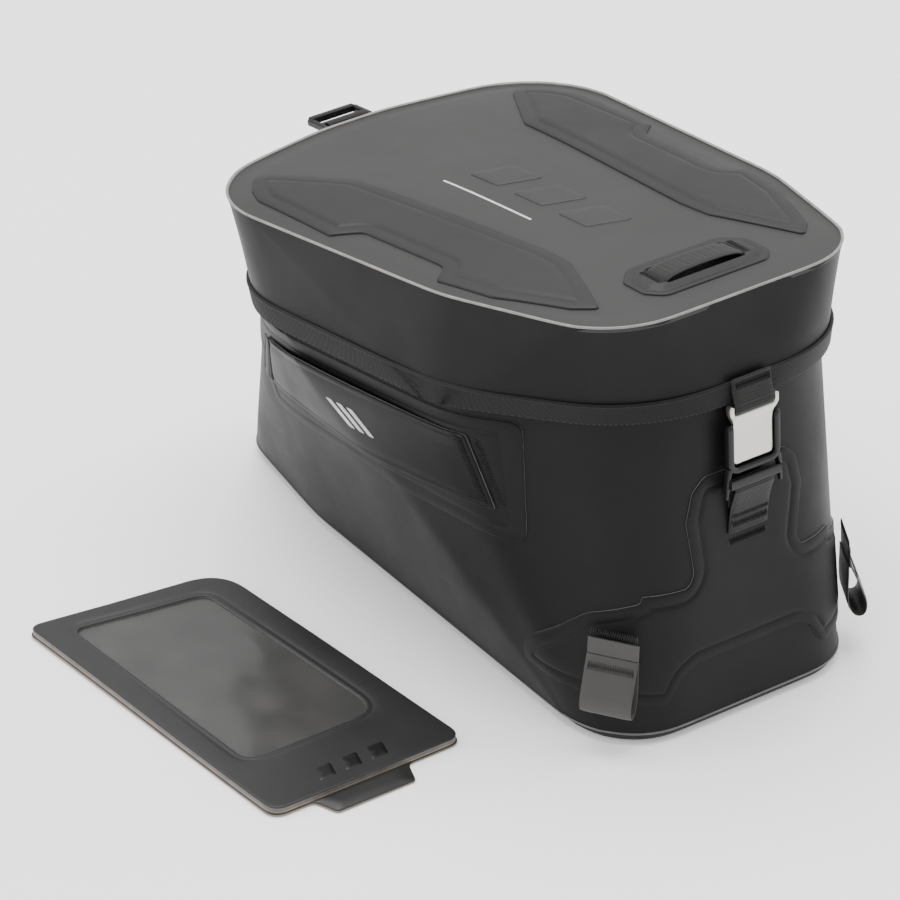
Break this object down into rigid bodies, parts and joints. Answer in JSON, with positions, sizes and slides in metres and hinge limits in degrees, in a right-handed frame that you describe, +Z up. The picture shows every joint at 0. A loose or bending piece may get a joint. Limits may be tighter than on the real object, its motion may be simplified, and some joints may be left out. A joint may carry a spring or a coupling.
{
  "type": "motorcycle tank bag",
  "caption": "Semi-rigid motorcycle tank bag with a hinged box lid, hook buckle, carry bands, tie-down loops and a separate clear-window phone pouch.",
  "frame": {"origin": "centre of the base footprint, on the surface that the bag stands on", "axes": "+X to the motorcycle's right, +Y forward to the handlebar end, +Z up"},
  "size_m": [0.3692, 0.3776, 0.2359],
  "materials": {
    "coated_wall": "matt urethane-coated woven fabric",
    "coated_top": "satin urethane-coated fabric",
    "base_rubber": "matt, fine grip texture",
    "stiff_board": "matt",
    "lining": "plain weave",
    "hoop": "matt",
    "patch_wall": "embossed coated fabric",
    "patch_lid": "embossed coated fabric",
    "band": "smooth coated strap",
    "thread": "sewing thread",
    "badge": "reflective print",
    "webbing": "ribbed webbing",
    "loop_tape": "coated tape",
    "binding": "herringbone tape",
    "weld": "satin weld edge",
    "black_plastic": "moulded, fine grain",
    "steel": "brushed nickel",
    "pouch_sheet": "embossed coated fabric",
    "pouch_core": "raw edge of board",
    "clear_film": "clear vinyl film"
  },
  "bodies": {
    "bag_body": {"base_panel": "base_rubber", "base_board": "stiff_board", "floor_lining": "lining", "body_shell": "coated_wall", "wall_lining": "lining", "mouth_collar": "coated_wall", "mouth_hoop": "hoop", "rear_patch": "patch_wall", "left_side_patch": "patch_wall", "right_side_patch": "patch_wall", "left_carry_band": "band", "right_carry_band": "band", "left_bartacks": "thread", "right_bartacks": "thread", "left_band_badge": "badge", "right_band_badge": "badge", "lower_webbing": "webbing", "hinge_strip": "patch_wall", "left_loop_base": "loop_tape", "right_loop_base": "loop_tape"},
    "buckle_receiver": {"buckle_frame": "black_plastic"},
    "left_loop": {"left_tie_loop": "loop_tape"},
    "right_loop": {"right_tie_loop": "loop_tape"},
    "lid": {"lid_panel": "coated_top", "lid_skirt": "coated_wall", "lid_board": "stiff_board", "lid_lining": "lining", "rim_bead": "weld", "skirt_binding": "binding", "left_lid_patch": "patch_lid", "right_lid_patch": "patch_lid", "handle_patch": "patch_lid", "lid_emblem": "patch_lid", "upper_webbing": "webbing", "front_tab": "webbing", "grab_handle": "webbing"},
    "buckle_hook": {"buckle_plate": "steel", "buckle_pin": "steel"},
    "front_lock": {"ladder_lock": "black_plastic"},
    "phone_pouch": {"pouch_back": "pouch_sheet", "pouch_spacer": "pouch_core", "pouch_front": "pouch_sheet", "pouch_window": "clear_film", "pouch_emblem": "pouch_sheet"}
  },
  "joints": [
    {"name": "lid_hinge", "type": "hinge", "parent": "bag_body", "child": "lid", "pos_m": [0, 0.13876, 0.1417], "axis": [-1, 0, 0], "range_deg": [0, 100]},
    {"name": "hook_pivot", "type": "hinge", "parent": "lid", "child": "buckle_hook", "pos_m": [0, -0.18189, 0.17362], "axis": [-1, 0, 0], "range_deg": [0, 85]},
    {"name": "receiver_pivot", "type": "hinge", "parent": "bag_body", "child": "buckle_receiver", "pos_m": [0, -0.18361, 0.13103], "axis": [1, 0, 0], "range_deg": [0, 70]},
    {"name": "left_loop_fold", "type": "hinge", "parent": "bag_body", "child": "left_loop", "pos_m": [-0.08089, -0.16678, 0.051], "axis": [-0.515, 0.8572, 0], "range_deg": [0, 100]},
    {"name": "right_loop_fold", "type": "hinge", "parent": "bag_body", "child": "right_loop", "pos_m": [0.08089, -0.16678, 0.051], "axis": [-0.515, -0.8572, 0], "range_deg": [0, 100]},
    {"name": "ladder_lock_pivot", "type": "hinge", "parent": "lid", "child": "front_lock", "pos_m": [0, 0.15576, 0.19256], "axis": [1, 0, 0], "range_deg": [-60, 100]},
    {"name": "pouch_lift", "type": "slide", "parent": "bag_body", "child": "phone_pouch", "axis": [0, 0, 1], "range_m": [0, 0.06]}
  ]
}
